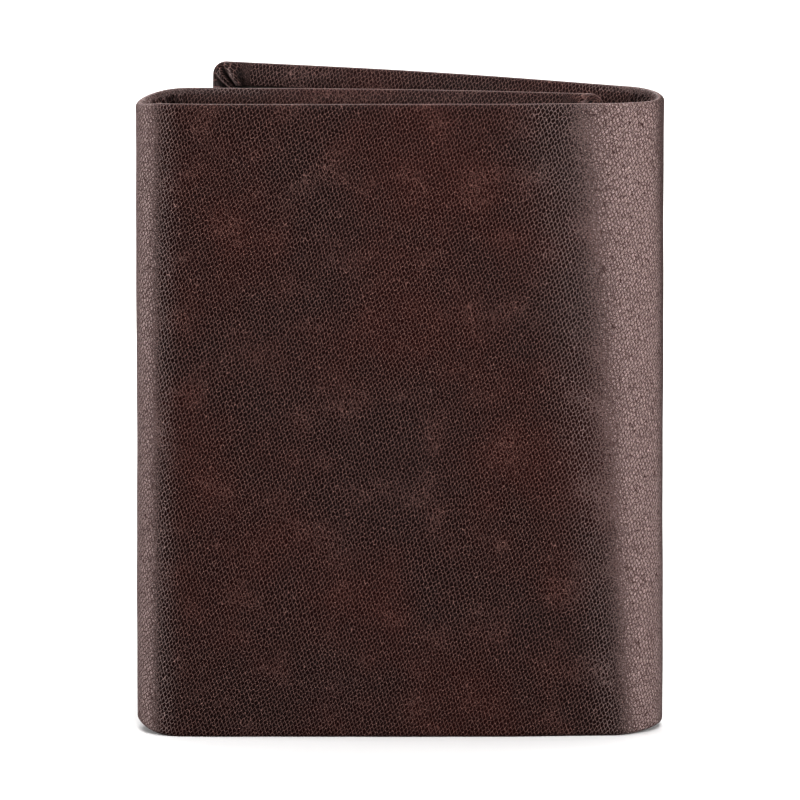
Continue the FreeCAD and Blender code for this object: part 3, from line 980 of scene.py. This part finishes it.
def sheet_span(panel, free_inset):
    """First and last station of a panel's sheet: it stops short of a free end by this inset."""
    first, last = PANELS[panel]
    left = free_inset if panel == "inner_flap" else FLAT_MARGIN
    right = free_inset if panel == "outer_flap" else FLAT_MARGIN
    return first + left, last - right


for panel in PANELS:
    near, far = sheet_span(panel, LINING_INSET)
    liner = cut_sheet(
        f"{panel}_lining_cloth", [rounded_outline(near, far, LINING_LOW, LINING_HIGH, 0.3)],
        SLOT, LINING, bevel=0.05)
    dress(liner, LINER, BODY[panel], f"{panel}_lining")

    near, far = sheet_span(panel, BOARD_INSET)
    board = cut_sheet(
        f"{panel}_board", [rounded_outline(near, far, BOARD_INSET, HEIGHT - BOARD_INSET, 0.8)],
        SKIN + BOARD_PLAY, SLOT - SKIN - 2 * BOARD_PLAY, bevel=0.04)
    dress(board, BOARD, BODY[panel], f"{panel}_stiffener")

    near, far = sheet_span(panel, SKIN)
    wall = cut_sheet(
        f"{panel}_inner_wall", [rounded_outline(near, far, POCKET_BOTTOM, MOUTH, 0.4)],
        PANEL, WALL, groove=MOUTH - MOUTH_GROOVE)
    dress(wall, INNER, BODY[panel], f"{panel}_interior_panel")

for bend_name, (bodies, bend_span, (first, last)) in BENDS.items():
    cad_side = bend_name.split("_")[0]
    low, high = LINING_LOW + FOLD_LINING_RISE, LINING_HIGH - FOLD_LINING_DROP
    liner = cut_sheet(
        f"{bend_name}_lining_cloth", [rounded_outline(first, last, low, high, 0.05, 1)],
        FOLD_LINING_DEPTH, LINING, bevel=0.01, cut=BEND_CUT)
    dress_bend(liner, LINER, f"{cad_side}_fold_lining")
    wall = cut_sheet(
        f"{bend_name}_gusset",
        [rounded_outline(first, last, POCKET_BOTTOM + GUSSET_RISE, MOUTH, 0.05, 1)],
        PANEL, WALL, bevel=0.01, cut=BEND_CUT)
    dress_bend(wall, INNER, f"{cad_side}_fold_gusset")


# ---------------------------------------------------------------- card pockets

POCKET_COUNT = 3
TOP_LIP = 85.0
LIP_STEP = 11.0
FACING_DROP = 16.0
FABRIC_FLOOR = 20.0
CLOTH_DROP = 2.5
LIP_GROOVE = 1.7
LEATHER_BEVEL = 0.16
SIDE_MARGIN = 2.0
STITCH_INSET = 1.8
STITCH_PITCH = 3.4


def pocket_face(z):
    """Depth of the stepped pockets' visible face at a height."""
    steps = sum(1 for number in range(POCKET_COUNT) if z < TOP_LIP - LIP_STEP * number)
    return POCKET + STEP * steps


def stitch_heights(top, surface):
    """Heights of the stitches that don't straddle a step between two lips."""
    heights = []
    for number in range(int((top - POCKET_BOTTOM - STITCH_INSET) / STITCH_PITCH)):
        low = POCKET_BOTTOM + STITCH_INSET + STITCH_PITCH * number
        if surface(low) == surface(low + STITCH_LENGTH):
            heights.append(low)
    return heights


for panel in ("centre", "outer_flap"):
    first = PANELS[panel][0] + SIDE_MARGIN
    last = PANELS[panel][1] - SIDE_MARGIN
    for number in range(POCKET_COUNT):
        depth = POCKET + STEP * number
        lip = TOP_LIP - LIP_STEP * number
        low = POCKET_BOTTOM if number == POCKET_COUNT - 1 else lip - FACING_DROP
        cloth_top = lip - CLOTH_DROP
        cloth = cut_sheet(
            f"{panel}_pocket_cloth_{number + 1}",
            [rounded_outline(first, last, FABRIC_FLOOR, cloth_top, 0.4)], depth, FABRIC, bevel=0.03)
        dress(cloth, LINER, BODY[panel], f"{panel}_pocket_fabric_{number + 1}")
        facing = cut_sheet(
            f"{panel}_pocket_facing_{number + 1}", [rounded_outline(first, last, low, lip, 0.5)],
            depth + FABRIC, FACING, bevel=LEATHER_BEVEL, groove=lip - LIP_GROOVE)
        dress(facing, INNER, BODY[panel], f"{panel}_card_pocket_{number + 1}")
    rows = thread_row(
        f"{panel}_thread", (first + STITCH_INSET, last - STITCH_INSET),
        stitch_heights(TOP_LIP, pocket_face), pocket_face)
    dress(rows, THREAD, BODY[panel], f"{panel}_stitching")


# ---------------------------------------------------------------- identity-card window

WINDOW_WIDTH = 44.0
WINDOW_HEIGHT = 70.0
WINDOW_BOTTOM = 10.0
FRAME_TOP = 90.0
SLIP_TOP = 94.0
NOTCH_RADIUS = 7.0
FILM_MARGIN = 2.5

first = INNER_END + SIDE_MARGIN
last = INNER_FOLD - SIDE_MARGIN
middle = (first + last) / 2
slip = cut_sheet(
    "inner_flap_slip_facing", [rounded_outline(first, last, POCKET_BOTTOM, SLIP_TOP, 0.6)],
    POCKET, FACING, bevel=LEATHER_BEVEL, groove=SLIP_TOP - LIP_GROOVE)
dress(slip, INNER, "inner_flap", "inner_flap_slip_pocket")
half = WINDOW_WIDTH / 2 + FILM_MARGIN
film_outline = rounded_outline(middle - half, middle + half, WINDOW_BOTTOM - FILM_MARGIN,
                               WINDOW_BOTTOM + WINDOW_HEIGHT + FILM_MARGIN, 1.0)
film = cut_sheet("id_window_clear", [film_outline], POCKET + FACING, FILM, bevel=0.05)
dress(film, CLEAR, "inner_flap", "id_window_film")
window = rounded_outline(middle - WINDOW_WIDTH / 2, middle + WINDOW_WIDTH / 2, WINDOW_BOTTOM,
                         WINDOW_BOTTOM + WINDOW_HEIGHT, 2.0)
border = cut_sheet(
    "id_window_border",
    [notched_outline(first, last, POCKET_BOTTOM, FRAME_TOP, middle, NOTCH_RADIUS), window],
    POCKET + FACING + FILM, FACING, bevel=LEATHER_BEVEL)
dress(border, INNER, "inner_flap", "id_window_frame")


def window_face(z):
    """Depth of the window frame's visible face at a height."""
    return POCKET + FACING + (FILM + FACING if z < FRAME_TOP else 0.0)


rows = thread_row("inner_flap_thread", (first + STITCH_INSET, last - STITCH_INSET),
                  stitch_heights(FRAME_TOP, window_face), window_face)
dress(rows, THREAD, "inner_flap", "inner_flap_stitching")


# ---------------------------------------------------------------- floor, light and camera

FLOOR_REACH = 14.0
AMBIENT = 0.12
DISPLAY_GAMMA = 0.7


def plain_floor():
    """Pale seamless floor that glows a little more with distance, so it stays white all over."""
    mesh = bpy.data.meshes.new("floor")
    corners = [(x * FLOOR_REACH, y * FLOOR_REACH, 0) for x, y in ((-1, -1), (1, -1), (1, 1), (-1, 1))]
    mesh.from_pydata(corners, [], [(0, 1, 2, 3)])
    floor = bpy.data.objects.new("floor", mesh)
    bpy.context.collection.objects.link(floor)
    n = Nodes("floor_paper")
    spot = n.add("ShaderNodeTexCoord").outputs["Object"]
    tooth = n.noise(spot, 60.0).outputs["Fac"]
    away = n.add("ShaderNodeVectorMath", {0: spot}, operation="LENGTH").outputs["Value"]
    n.finish(Base_Color=n.mix(tooth, (0.735, 0.735, 0.735, 1), (0.76, 0.76, 0.76, 1)), Roughness=0.9,
             Specular_IOR_Level=0.1, Emission_Color=(1, 1, 1, 1),
             Emission_Strength=n.ramp(away, 0.1, 0.6, 0.05, 0.25))
    mesh.materials.append(n.material)
    floor.visible_glossy = False


def softbox(name, position, target, width, height, power):
    """A rectangular area light that looks at a target."""
    light = bpy.data.lights.new(name, "AREA")
    light.shape = "RECTANGLE"
    light.size = width
    light.size_y = height
    light.energy = power
    holder = bpy.data.objects.new(name, light)
    holder.location = position
    aim = Vector(target) - Vector(position)
    holder.rotation_euler = aim.to_track_quat("-Z", "Y").to_euler()
    bpy.context.collection.objects.link(holder)


MIDDLE = Vector((0, FRONT_Y * MM, HEIGHT / 2 * MM))
plain_floor()
softbox("right_softbox", (0.58, -0.55, 0.26), MIDDLE, 0.32, 0.46, 7.5)
softbox("left_softbox", (-0.9, -0.05, 0.26), MIDDLE, 0.36, 0.46, 9)
softbox("overhead_softbox", (0.0, 0.95, 2.2), (0, 0.5, 0), 2.4, 1.8, 42)
softbox("front_softbox", (0.1, -1.1, 1.0), MIDDLE, 0.6, 0.4, 17)
softbox("back_softbox", (-0.25, 1.2, 0.75), MIDDLE, 0.7, 0.5, 9)

world = bpy.data.worlds.new("studio")
world.use_nodes = True
background = world.node_tree.nodes["Background"]
background.inputs["Color"].default_value = (1, 1, 1, 1)
background.inputs["Strength"].default_value = AMBIENT
bpy.context.scene.world = world
bpy.context.scene.view_settings.view_transform = "Standard"
bpy.context.scene.view_settings.gamma = DISPLAY_GAMMA

# The camera looks slightly down through a long lens at the centre panel's outer face
CAMERA_ELEVATION = math.radians(11.8)
CAMERA_DISTANCE = 2.5
SENSOR_WIDTH = 36.0
VIEW_WIDTH = 0.1257
AIM_ABOVE_MIDDLE = 0.0036
camera = bpy.data.objects.new("camera", bpy.data.cameras.new("camera"))
aim_point = MIDDLE + Vector((0, 0, AIM_ABOVE_MIDDLE))
towards_camera = Vector((0, -math.cos(CAMERA_ELEVATION), math.sin(CAMERA_ELEVATION)))
camera.location = aim_point + towards_camera * CAMERA_DISTANCE
camera.rotation_euler = (-towards_camera).to_track_quat("-Z", "Y").to_euler()
camera.data.sensor_width = SENSOR_WIDTH
camera.data.lens = SENSOR_WIDTH * CAMERA_DISTANCE / VIEW_WIDTH
camera.data.clip_end = 50.0
bpy.context.collection.objects.link(camera)
bpy.context.scene.camera = camera
